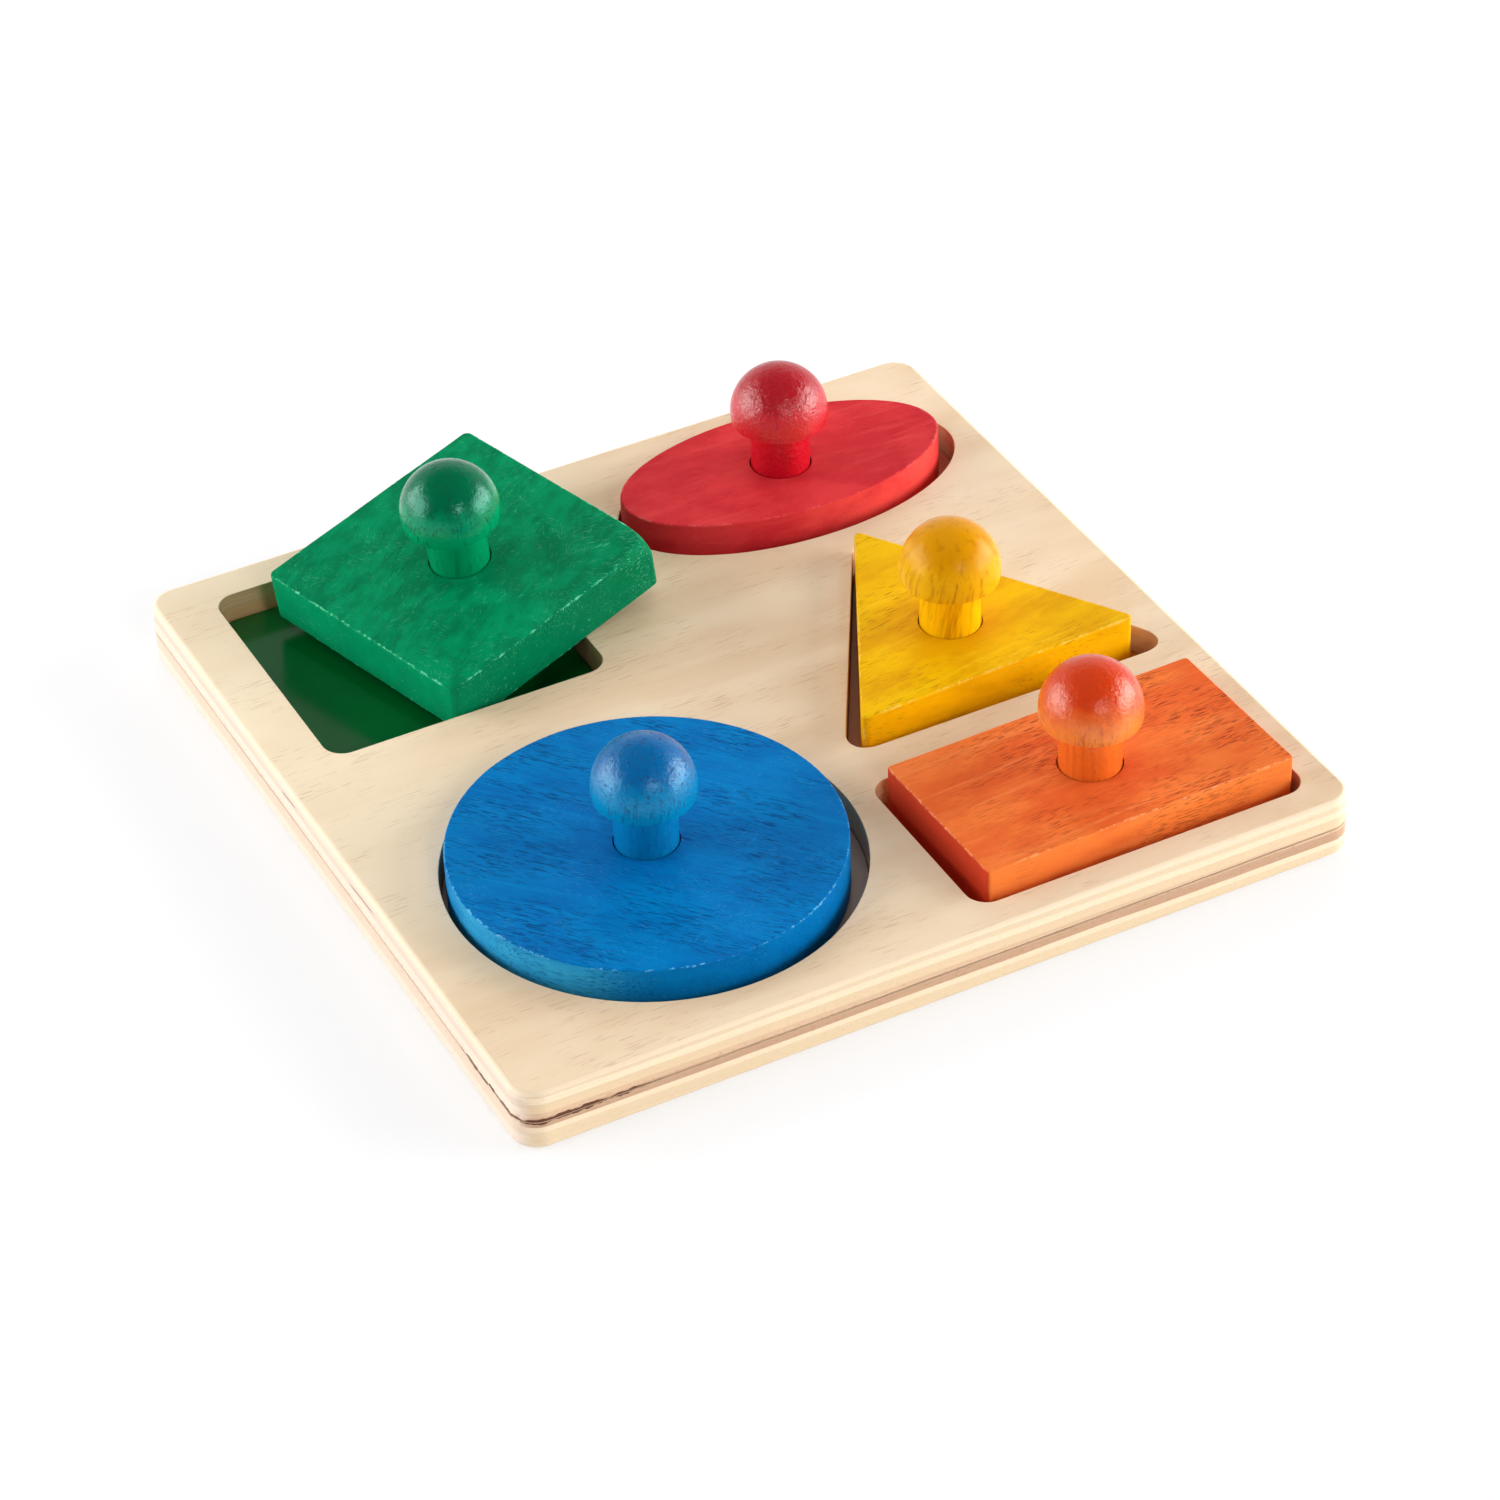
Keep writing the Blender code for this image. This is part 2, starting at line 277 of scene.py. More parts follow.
def smooth(piece, angle=35):
    only(piece)
    bpy.ops.object.shade_smooth_by_angle(angle=math.radians(angle), keep_sharp_edges=False)
    even = piece.modifiers.new("even", "WEIGHTED_NORMAL")
    even.keep_sharp = True
    even.weight = 60
    bpy.ops.object.modifier_apply(modifier="even")


def dress(piece, material):
    piece.data.materials.clear()
    piece.data.materials.append(material)


def stand(piece, name, body, node, slot, material):
    piece.name = name
    piece.data.name = name
    dress(piece, material)
    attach(piece, body)
    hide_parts(node)


def outlineSolid(outline, bottom, top, grow=0.0, corner=0.0, corners=8, facets=128):
    size = (outline["length"] * mm + 2 * grow, outline["width"] * mm + 2 * grow, top - bottom)
    middle = (0, 0, (bottom + top) / 2)
    if outline["kind"] == "oval":
        bpy.ops.mesh.primitive_cylinder_add(vertices=facets, radius=0.5, depth=1,
                                            location=middle)
    elif outline["kind"] == "triangle":
        radius = outline["length"] * mm / math.sqrt(3) + 2 * grow
        bpy.ops.mesh.primitive_cylinder_add(vertices=3, radius=radius, depth=top - bottom,
                                            location=middle)
        size = (1, 1, 1)
    else:
        bpy.ops.mesh.primitive_cube_add(size=1, location=middle)
    solid = bpy.context.object
    solid.scale = size
    settle(solid)
    if corner and outline["kind"] != "oval":
        reach = corner * (math.sqrt(3) if outline["kind"] == "triangle" else 1)
        bevelEdges(solid, upright, reach, corners)
    return solid


# The two plywood boards
boards = {
    "thickness": 21.0,  # of both together
    "cornerRadius": 8.5 * mm,
    "edgeRadius": 2.0 * mm,
    "rimEase": 0.35 * mm,
    "seamEase": 0.12 * mm,
    "recessCorner": 7.0 * mm,
    "recessClearance": {"square": 3.7, "oval": 3.7, "triangle": 5.1, "round": 3.7,
                        "rectangle": 3.7},
    "recessMiddle": {"square": (-74.309, 78.801), "oval": (69.509, 92.401),
                     "triangle": (74.35, -12.4), "round": (-58.709, -62.801),
                     "rectangle": (71.509, -96.001)},
    "face": seen(230, 206, 174),
    "paintedLightFace": seen(242, 226, 196),  # painted light: a paler stretch toward the left edge
    "paintedLightAcross": (-40.0, -120.0),  # it comes in between these along X
    "paintedLightAlong": (-110.0, -20.0),  # and between these along Y
    "faceShade": seen(222, 194, 159),
    "faceCool": seen(234, 215, 186),
    "pore": seen(176, 132, 94),
    # the rounded edges' paler colour: sanded wear with a painted highlight
    "sandedAndHighlight": seen(246, 226, 198),
    "routedAndShade": seen(230, 172, 106),  # the recess walls, browned by the cutter and by painted shade
    "routedWithin": (135.0, 132.0),  # they all lie nearer the middle than this
    "plyLean": 0.009,  # the plies run a little out of level along the front
    # height from the underside and the ply's colour: at the front and back, then at the sides
    "frontPlies": [
        (0.0, seen(234, 212, 179)), (1.6, seen(231, 208, 172)), (5.2, seen(242, 221, 190)),
        (7.2, seen(196, 158, 128)), (10.6, seen(220, 186, 154)), (12.4, seen(229, 203, 167)),
        # the last front stop, on the rounded top edge, is the face veneer made paler with a painted
        # highlight
        (15.7, seen(242, 222, 191)), (18.0, seen(229, 206, 172)), (19.9, seen(238, 217, 187)),
    ],
    "sidePlies": [
        (0.0, seen(219, 205, 187)), (2.0, seen(228, 211, 193)), (5.4, seen(220, 197, 176)),
        (11.6, seen(228, 211, 193)), (15.3, seen(218, 196, 177)), (18.0, seen(229, 210, 189)),
    ],
    "glueAndGapShade": seen(98, 56, 36),
    "glueSheet": {"bottom": 10.25 * mm, "top": 10.45 * mm, "inset": 0.3 * mm,
                  "corner": 8.2 * mm, "roughness": 0.7},
    "seamHeight": 10.6,
    "tornCorner": (-140.0, -140.0, 10.5),  # the joint is torn open round this corner
    "tornReach": (50.0, 30.0),
    "splits": [(24.0, 6.0), (-30.0, 10.0)],  # cracks in the left side, painted dark as shade: place along Y, half length
    "splitHeight": 16.6,
    "roughness": 0.45, "uneven": 0.12, "relief": 0.05, "gloss": 0.2,
}
outlines = {
    "square": {"kind": "rectangle", "length": 88.0, "width": 88.0},
    "oval": {"kind": "oval", "length": 113.4, "width": 58.2},
    "triangle": {"kind": "triangle", "length": 101.5, "width": 101.5},
    "round": {"kind": "oval", "length": 121.0, "width": 121.0},
    "rectangle": {"kind": "rectangle", "length": 108.0, "width": 59.6},
}


def plywood(look):
    finish = Finish("lacqueredPlywood")
    x, y, z = finish.x, finish.y, finish.z
    level = abs(finish.toward((0, 0, 1)))
    sideways, frontways = finish.toward((1, 0, 0)), finish.toward((0, 1, 0))

    # face veneer: broad bands along X, fine fibres, and short dark pores in loose groups
    bands = finish.noise((0.006, 0.055, 0.01), detail=3)
    patches = finish.noise((0.02, 0.035, 0.02), detail=2, shift=(7, 3, 0))
    fibres = finish.noise((0.05, 2.4, 0.3), detail=3, roughness=0.6)
    pores = finish.noise((0.10, 2.2, 0.2), detail=2, roughness=0.6, shift=(0, 40, 0), twist=0.03)
    groups = finish.noise((0.025, 0.05, 0.05), detail=2, shift=(0, 0, 17))
    poreSpots = finish.step(pores, 0.60, 0.68) * finish.step(groups, 0.38, 0.6)
    face = finish.blend(finish.step(bands, 0.38, 0.62), look["face"], look["faceShade"])
    face = finish.blend(finish.step(patches, 0.4, 0.75) * 0.7, face, look["faceCool"])
    face = finish.blend(finish.step(fibres, 0.5, 0.8) * 0.25, face, look["faceShade"])
    # painted light: the face is made paler toward the left edge, by position alone
    paintedLightShare = finish.step(x, *look["paintedLightAcross"]) * finish.step(y, *look["paintedLightAlong"])
    face = finish.blend(paintedLightShare * 0.6, face, look["paintedLightFace"])
    face = finish.blend(poreSpots * 0.55, face, look["pore"])

    # edges: plies by height, each a little out of true
    wobble = finish.noise((0.02, 0.02, 0.05), detail=3, shift=(11, 0, 0)) - 0.5
    thickness, soft = look["thickness"], 0.008

    def layers(plies, height):
        stops = []
        for bottom, colour in plies:
            if stops:
                stops.append((bottom / thickness - soft, stops[-1][1]))
            stops.append((bottom / thickness + soft, colour))
        return finish.ramp(height / thickness, stops)

    leaning = z + x * look["plyLean"]
    front = layers(look["frontPlies"], leaning + wobble * 1.2)
    side = layers(look["sidePlies"], z + wobble * 1.2)
    plies = finish.blend(finish.step(abs(sideways) - abs(frontways), -0.4, 0.4), front, side)
    lines = finish.noise((0.03, 0.03, 3.2), detail=2)
    specks = finish.noise((0.5, 0.5, 2.2), detail=2, shift=(5, 0, 0))
    dark = finish.step(leaning, 6.8, 7.6) * finish.step(leaning, 12.5, 10.5)  # the middle ply
    recessed = finish.step(abs(x).over(abs(y)), *look["routedWithin"])
    lined = finish.step(lines, 0.5, 0.75) * (0.3 + 0.3 * recessed)
    plies = finish.blend(lined, plies, look["faceShade"])
    speckled = finish.step(specks, 0.56, 0.68) * (0.15 + 0.45 * dark)
    plies = finish.blend(speckled, plies, look["pore"])
    # the recess walls browned: cutter burn and painted shade in the recesses
    plies = finish.blend(recessed * finish.step(lines, 0.2, 0.6) * 0.75, plies, look["routedAndShade"])

    # the joint between the boards is a thin brown glue line; where it is torn open round the front
    # left corner, and in the cracks, the wider dark is painted shade
    tornShade = finish.step(finish.distance(look["tornCorner"]), *look["tornReach"])
    along = finish.noise((0.09, 0.09, 0.25), detail=3, roughness=0.7, shift=(2, 9, 0))
    width = 0.07 + tornShade * finish.step(along, 0.36, 0.7) * 1.2
    away = abs(z - look["seamHeight"] + wobble * 0.8)
    seamAndCrackShade = finish.step(width - away, -0.14, 0.08) * (0.65 + 0.35 * tornShade)
    for middle, reach in look["splits"]:
        ends = finish.step(abs(y - middle), reach, reach * 0.6) * finish.step(sideways, -0.6, -0.9)
        away = abs(z - look["splitHeight"] + wobble * 2.0 + (y - middle) * 0.04)
        seamAndCrackShade = seamAndCrackShade.over(ends * finish.step(away, 0.34, 0.1))
    plies = finish.blend(seamAndCrackShade * (1.0 - recessed), plies, look["glueAndGapShade"])

    colour = finish.blend(finish.step(level, 0.75, 0.45), face, plies)
    easedAndHighlight = finish.step(level, 0.3, 0.6) * finish.step(level, 0.985, 0.9)  # the rounded edges, paler: sanded wear and a painted highlight
    colour = finish.blend(easedAndHighlight * 0.6, colour, look["sandedAndHighlight"])
    relief = fibres * 0.4 + pores * 0.2 - poreSpots * 0.8
    return finish.surface(colour, look["roughness"] + look["uneven"] * bands, relief,
                          depth=look["relief"], extra={"Specular IOR Level": look["gloss"]})


plywoodFinish = plywood(boards)
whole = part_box("top_board")[1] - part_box("top_board")[0]
boardOutline = {"kind": "rectangle", "length": whole.x / mm, "width": whole.y / mm}

low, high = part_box("top_board")
boardTop = outlineSolid(boardOutline, low.z, high.z, corner=boards["cornerRadius"], corners=12)
bevelEdges(boardTop, levelAt(high.z), boards["edgeRadius"], segments=5)
bevelEdges(boardTop, levelAt(low.z), boards["seamEase"], segments=2)
for shape, (x, y) in boards["recessMiddle"].items():
    cutter = outlineSolid(outlines[shape], low.z - mm, high.z + mm,
                          grow=boards["recessClearance"][shape] * mm,
                          corner=boards["recessCorner"], corners=10, facets=160)
    cutter.location = (x * mm, y * mm, 0)
    carve(boardTop, cutter)


def recessRim(edge):
    if not levelAt(high.z)(edge) or len(edge.link_faces) != 2:
        return False
    if all(abs(face.normal.z) > 0.9 for face in edge.link_faces):
        return False
    reach = whole.x / 2 - boards["edgeRadius"] - 0.5 * mm
    return all(max(abs(point.co.x), abs(point.co.y)) < reach for point in edge.verts)


bevelEdges(boardTop, recessRim, boards["rimEase"], segments=2)
smooth(boardTop)
stand(boardTop, "boardTop", "board", "top_board", "plywood", plywoodFinish)

low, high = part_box("backing_board")
boardBase = outlineSolid(boardOutline, low.z, high.z, corner=boards["cornerRadius"], corners=12)
bevelEdges(boardBase, levelAt(low.z), boards["edgeRadius"], segments=5)
bevelEdges(boardBase, levelAt(high.z), boards["seamEase"], segments=2)
smooth(boardBase)
stand(boardBase, "boardBase", "board", "backing_board", "plywood", plywoodFinish)

glueSheet = boards["glueSheet"]
glueLine = outlineSolid(boardOutline, glueSheet["bottom"], glueSheet["top"],
                        grow=-glueSheet["inset"], corner=glueSheet["corner"])
smooth(glueLine)
glueLine.name = "glueLine"
dress(glueLine, Finish("oldGlue").surface(boards["glueAndGapShade"], glueSheet["roughness"]))
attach(glueLine, "board")
print("boards made")


# The recess floors have a smooth glossy coat
floors = {
    "colour": {
        "square": seen(0, 94, 38), "oval": seen(206, 112, 84), "triangle": seen(176, 104, 22),
        "round": seen(170, 146, 134), "rectangle": seen(186, 76, 42),
    },
    "darker": 0.7, "roughness": 0.13, "uneven": 0.08, "gloss": 0.45,
}
for shape, colour in floors["colour"].items():
    finish = Finish(shape + "FloorGloss")
    haze = finish.noise((0.05, 0.05, 0.05), detail=3)
    darker = tuple(floors["darker"] * level for level in colour)
    tint = finish.blend(finish.step(haze, 0.3, 0.8) * 0.3, colour, darker)
    dress(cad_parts[shape + "_recess_floor"],
          finish.surface(tint, floors["roughness"] + floors["uneven"] * haze,
                         extra={"Specular IOR Level": floors["gloss"]}))
print("recess floors finished")


# The blocks are stained and sanded wood
block = {  # what all five share
    "thickness": 18.0 * mm, "restsAt": 11.2 * mm,
    "knobHole": 10.25 * mm, "knobHoleDepth": 5.5 * mm, "cutPast": 2.5 * mm,
    "screwHole": 4.3 * mm, "screwHoleDepth": 2.0 * mm,
    "loops": 5.0 * mm, "wearSpread": 14.0 * mm,
    "rounding": 0.59,  # a rounding's middle is this many radii in, counted over both faces
}


def edgeDistance(finish, outline, edge, corner):  # 0 on the rounded edges, less with each mm away
    x, y = finish.x, finish.y
    half, rounding = block["thickness"] / mm / 2, block["rounding"]
    level = abs(finish.z - half) - half + rounding * edge
    if outline["kind"] == "oval":
        a, b = outline["length"] / 2, outline["width"] / 2
        across, deep = x / a, y / b
        return ((across * across + deep * deep).root() - 1.0) * min(a, b) + level
    if outline["kind"] == "triangle":
        inner = outline["length"] / (2 * math.sqrt(3))
        first, second = abs(x) * math.sqrt(0.75) + y * 0.5 - inner, y * -1.0 - inner
        return (first.over(second) + level).over(first + second + corner - 0.3)
    first, second = abs(x) - outline["length"] / 2, abs(y) - outline["width"] / 2
    return (first.over(second) + level).over(first + second + rounding * corner - 0.3)


def stainedWood(name, look, outline, seat):
    finish = Finish(name, seat)
    twist = math.radians(look["grain"])
    blotch = finish.noise(look["blotchStretch"], detail=4, roughness=0.6, twist=twist)
    streaks = finish.noise(look["streakStretch"], detail=3, roughness=0.6, shift=(3, 0, 0),
                           twist=twist)
    fibres = finish.noise(look["fibreStretch"], detail=2, roughness=0.6, shift=(0, 9, 0),
                          twist=twist)
    pores = finish.noise((0.22, 2.6, 2.2), detail=1, shift=(0, 70, 0), twist=twist)
    poreField = finish.noise((0.03, 0.07, 0.05), detail=1, shift=(31, 0, 0), twist=twist)
    spots = finish.step(pores, look["poreFrom"], look["poreFrom"] + 0.07)
    spots = spots * finish.step(poreField, 0.35, 0.6)
    if "poreBand" in look:
        spots = spots * finish.step(finish.x, *look["poreBand"])

    colour = finish.blend(finish.step(blotch, 0.38, 0.62), look["deep"], look["body"])
    litWay, litSideColour = look["sideLightAndShade"]  # painted light and shade: the side that faces the given direction gets its own colour, paler on four blocks and darker on the green one
    litSide = finish.step(finish.toward(litWay), 0.7, 1.0)
    colour = finish.blend(litSide * finish.step(blotch, 0.2, 0.62), colour, litSideColour)
    plain = 1.0 - 0.4 * litSide
    streaked = finish.step(streaks, 0.5, 0.75) * look["streaks"] * plain
    colour = finish.blend(streaked, colour, look["light"])
    fibrous = finish.step(fibres, 0.52, 0.8) * look["fibres"] * plain
    colour = finish.blend(fibrous, colour, look["deep"])
    colour = finish.blend(spots * look["pores"] * plain, colour, look["pore"])

    # the end grain drinks more stain and is darker, except on the green block, where it is paler:
    # painted light on its left face
    grainWay = seat.to_3x3() @ Vector((math.cos(twist), math.sin(twist), 0))
    ends = finish.step(abs(finish.toward(grainWay)), 0.5, 0.95)
    colour = finish.blend(ends * look["ends"], colour, look["endGrainAndLight"])

    # fine scratches, in three directions and in patches
    scratches = 0.0
    for i, turn in enumerate((0.35, 1.5, 2.6)):
        lines = finish.noise((0.30, 3.0, 1.0), detail=1.5, shift=(i * 11, 5, 3),
                             twist=twist + turn)
        patch = finish.noise((0.06, 0.06, 0.06), detail=2, shift=(i * 7, 50, 0))
        scratches = finish.step(lines, 0.62, 0.72) * finish.step(patch, 0.46, 0.62) + scratches
    colour = finish.blend(scratches * look["scratches"], colour, look["worn"])

    # sanded edges, where the stain has rubbed off in dashes
    rough = finish.noise((0.6, 0.6, 0.6), detail=4, roughness=0.75, shift=(0, 0, 13))
    edge = edgeDistance(finish, outline, look["edge"], look["corner"])
    edge = edge + (rough - 0.5) * look["rubSpread"]
    rubbed = finish.step(edge, look["rubFrom"], look["rubFrom"] + 0.3)
    broken = finish.noise((0.08, 0.08, 0.08), detail=5, roughness=0.8, shift=(5, 5, 0))
    rubbed = rubbed * finish.step(broken, look["rubBreaks"], look["rubBreaks"] + 0.12)
    if "wornCorner" in look:
        corner = look["wornCorner"]
        near = finish.step(finish.distance(corner["point"]), *corner["scratched"])
        for turn in corner["hatchTurns"]:
            hatch = finish.noise((0.16, 1.9, 1.9), detail=3, roughness=0.6,
                                 shift=(9, 9 * turn, 9), twist=turn)
            patch = finish.noise((0.12, 0.12, 0.12), detail=3, shift=(turn * 7, 0, 21))
            hatched = near * finish.step(hatch, 0.57, 0.68) * finish.step(patch, 0.42, 0.6)
            rubbed = rubbed.over(hatched * 0.7)
    colour = finish.blend(rubbed * look["rub"], colour, look["worn"])
    relief = fibres * 0.3 + rough * 0.5 - spots
    return finish.surface(colour, look["roughness"] + 0.15 * blotch, relief,
                          depth=look["relief"], extra={"Specular IOR Level": look["gloss"]})


def roundedOff(corner):  # a big cube with one rounded corner, whose faces lean off the block's
    point = Vector(corner["point"]) * mm
    bpy.ops.mesh.primitive_cube_add(size=400 * mm)
    solid = bpy.context.object
    for lean in corner["leans"]:
        pick(solid, "FACE", lambda face: True)
        bpy.ops.mesh.bisect(plane_co=point, plane_no=lean, use_fill=True, clear_outer=True,
                            threshold=hair)
        leave()
    side = Vector(corner["leans"][2]).normalized()

    def besideEnd(edge):
        return sum(face.normal.dot(side) > 0.999 for face in edge.link_faces) == 1

    def inFront(edge):
        atPoint = any((end.co - point).length < hair for end in edge.verts)
        return atPoint and not besideEnd(edge)

    bevelEdges(solid, inFront, corner["frontRadius"] * mm, segments=9)
    bevelEdges(solid, besideEnd, corner["endRadius"] * mm, segments=7)
    return solid


def makeBlock(look, shape):
    outline, seat, thickness = outlines[shape], look["seat"], block["thickness"]
    piece = outlineSolid(outline, 0.0, thickness, corner=look["corner"] * mm, corners=5,
                         facets=144)
    for level in (0.0, thickness):
        bevelEdges(piece, levelAt(level), look["edge"] * mm, segments=3)
    if "wornCorner" in look:
        carve(piece, roundedOff(look["wornCorner"]), "INTERSECT")
    addLoops(piece, block["loops"])
    wear(piece, look["wear"] * mm, block["wearSpread"])
    for x, y, z, radius in look.get("nicks", []):  # each one is turned another way
        bpy.ops.mesh.primitive_ico_sphere_add(subdivisions=2, radius=radius * mm,
                                              location=(x * mm, y * mm, z * mm),
                                              rotation=(x, y, z), scale=(1.0, 0.7, 1.3))
        carve(piece, bpy.context.object)
    cut = block["knobHoleDepth"] + block["cutPast"]
    bpy.ops.mesh.primitive_cylinder_add(vertices=96, radius=block["knobHole"], depth=cut,
                                        location=(0, 0, thickness + block["cutPast"] - cut / 2))
    carve(piece, bpy.context.object)
    bpy.ops.mesh.primitive_cylinder_add(vertices=48, radius=block["screwHole"],
                                        depth=2 * block["screwHoleDepth"], location=(0, 0, 0))
    carve(piece, bpy.context.object)
    smooth(piece)
    piece.matrix_world = seat
    settle(piece)
    stand(piece, look["name"], shape + "_piece", shape + "_block",
          look["colour"] + "_stained_wood",
          stainedWood(look["name"] + "Stain", look, outline, seat))


def lying(x, y, turn):
    place = Matrix.Translation((x * mm, y * mm, block["restsAt"]))
    return place @ Matrix.Rotation(math.radians(turn), 4, "Z")


greenSquare = {
    "name": "greenSquare", "colour": "green", "corner": 2.6, "edge": 0.8, "wear": 0.3,
    "seat": Matrix(((0.946881, -0.296614, -0.124242, -0.050086),
                    (0.290394, 0.954635, -0.065909, 0.08617),
                    (0.138155, 0.026329, 0.990061, 0.020937), (0, 0, 0, 1))),
    "wornCorner": {"point": (44.0, -44.0, 18.0), "frontRadius": 8.0, "endRadius": 3.6,
                   "leans": [(0.10, -0.07, 1.0), (0.10, -1.0, 0.05), (1.0, -0.05, 0.06)],
                   "scratched": (36.0, 8.0), "hatchTurns": [-0.75, -0.3]},
    "nicks": [(-44.0, -44.0, 17.2, 1.1), (-43.8, -43.8, 13.5, 0.7), (-43.8, -43.8, 9.0, 0.6)],
    "grain": 20.0, "blotchStretch": (0.09, 0.13, 0.12), "fibreStretch": (0.3, 1.4, 1.2),
    "streakStretch": (0.08, 0.5, 0.4),
    "body": seen(0, 137, 87), "deep": seen(0, 117, 73), "light": seen(0, 150, 98),
    "pore": seen(0, 80, 50), "worn": seen(116, 232, 182),
    # painted light: the green's end grain is paler, on its lit left face
    "endGrainAndLight": seen(0, 148, 98), "ends": 0.6,
    # painted shade: the front right face is darker
    "sideLightAndShade": ((0.292, -0.956, 0.0), seen(0, 116, 76)),
    "streaks": 0.4, "fibres": 0.35, "pores": 0.3, "poreFrom": 0.62, "scratches": 0.2,
    "rub": 0.66, "rubFrom": -0.34, "rubSpread": 2.6, "rubBreaks": 0.38, "roughness": 0.42,
    "relief": 0.14, "gloss": 0.03,
}
makeBlock(greenSquare, "square")

redOval = {
    "name": "redOval", "colour": "red", "corner": 0.0, "edge": 0.8, "wear": 0.15,
    "seat": lying(67.673, 93.693, -1.855),
    "grain": 0.0, "blotchStretch": (0.04, 0.07, 0.09), "fibreStretch": (0.10, 2.2, 2.0),
    "streakStretch": (0.03, 0.22, 0.3),
    "body": seen(209, 54, 58), "deep": seen(194, 40, 48), "light": seen(224, 76, 74),
    "pore": seen(160, 30, 36), "worn": seen(240, 122, 114),
    "endGrainAndLight": seen(176, 30, 36), "ends": 0.7,
    # painted light: the front right side is paler
    "sideLightAndShade": ((0.5, -0.866, 0.0), seen(232, 76, 68)),
    "streaks": 0.4, "fibres": 0.25, "pores": 0.2, "poreFrom": 0.66, "scratches": 0.1,
    "rub": 0.4, "rubFrom": -0.25, "rubSpread": 1.4, "rubBreaks": 0.46, "roughness": 0.42,
    "relief": 0.1, "gloss": 0.04,
}
makeBlock(redOval, "oval")

yellowTriangle = {
    "name": "yellowTriangle", "colour": "yellow", "corner": 2.0, "edge": 0.9, "wear": 0.25,
    "seat": lying(72.142, -11.2, 2.44),
    "grain": 6.0, "blotchStretch": (0.03, 0.07, 0.07), "fibreStretch": (0.10, 2.2, 2.0),
    "streakStretch": (0.02, 0.4, 0.3),
    "body": seen(234, 182, 2), "deep": seen(220, 160, 0), "light": seen(242, 199, 30),
    "pore": seen(184, 124, 0), "worn": seen(250, 216, 104),
    "endGrainAndLight": seen(226, 150, 0), "ends": 0.5,
    # painted light: the front face is paler
    "sideLightAndShade": ((0.043, -0.999, 0.0), seen(250, 186, 0)),
    "streaks": 0.5, "fibres": 0.3, "pores": 0.7, "poreFrom": 0.61, "scratches": 0.05,
    "rub": 0.5, "rubFrom": -0.4, "rubSpread": 1.8, "rubBreaks": 0.42, "roughness": 0.42,
    "relief": 0.1, "gloss": 0.04,
}
makeBlock(yellowTriangle, "triangle")

blueRound = {
    "name": "blueRound", "colour": "blue", "corner": 0.0, "edge": 0.7, "wear": 0.2,
    "seat": lying(-60.205, -61.611, 0.0),
    "grain": -50.0, "blotchStretch": (0.03, 0.05, 0.06), "fibreStretch": (0.14, 2.4, 2.2),
    "streakStretch": (0.03, 0.7, 0.6),
    "body": seen(0, 115, 181), "deep": seen(0, 102, 170), "light": seen(0, 131, 194),
    "pore": seen(0, 58, 114), "worn": seen(132, 216, 244),
    "endGrainAndLight": seen(0, 104, 170), "ends": 0.5,
    # painted sheen: the front left side is paler and cyan
    "sideLightAndShade": ((-0.940, -0.342, 0.0), seen(52, 160, 206)),
    "streaks": 0.45, "fibres": 0.6, "pores": 0.75, "poreFrom": 0.57, "scratches": 0.09,
    "rub": 0.52, "rubFrom": -0.2, "rubSpread": 2.3, "rubBreaks": 0.38, "roughness": 0.42,
    "relief": 0.1, "gloss": 0.03,
}
makeBlock(blueRound, "round")

orangeRectangle = {
    "name": "orangeRectangle", "colour": "orange", "corner": 1.5, "edge": 0.8, "wear": 0.3,
    "seat": lying(72.801, -95.049, 1.118),
    "nicks": [(54.3, -29.9, 18.3, 1.7), (-54.1, -29.9, 18.2, 0.8)],
    "grain": 2.0, "blotchStretch": (0.025, 0.05, 0.06), "fibreStretch": (0.10, 2.2, 2.0),
    "streakStretch": (0.015, 0.35, 0.3),
    "body": seen(232, 118, 54), "deep": seen(218, 95, 42), "light": seen(240, 142, 80),
    "pore": seen(146, 50, 26), "worn": seen(250, 176, 122),
    "endGrainAndLight": seen(202, 60, 36), "ends": 0.95,
    # painted light: the front face is paler
    "sideLightAndShade": ((0.0, -1.0, 0.0), seen(246, 130, 58)),
    "streaks": 0.5, "fibres": 0.35, "pores": 0.8, "poreFrom": 0.56, "poreBand": (-75, 10),
    "scratches": 0.04,
    "rub": 0.5, "rubFrom": -0.4, "rubSpread": 1.6, "rubBreaks": 0.43, "roughness": 0.42,
    "relief": 0.1, "gloss": 0.04,
}
makeBlock(orangeRectangle, "rectangle")
print("blocks made")


# The knobs are turned from dowel, so their crowns are end grain
knob = {"ball": 16.0 * mm, "middle": 38.4 * mm, "underside": 35.2 * mm,
        "undersideRadius": 2.8 * mm, "stem": 9.8 * mm, "foot": 12.8 * mm, "neckRadius": 0.3 * mm}


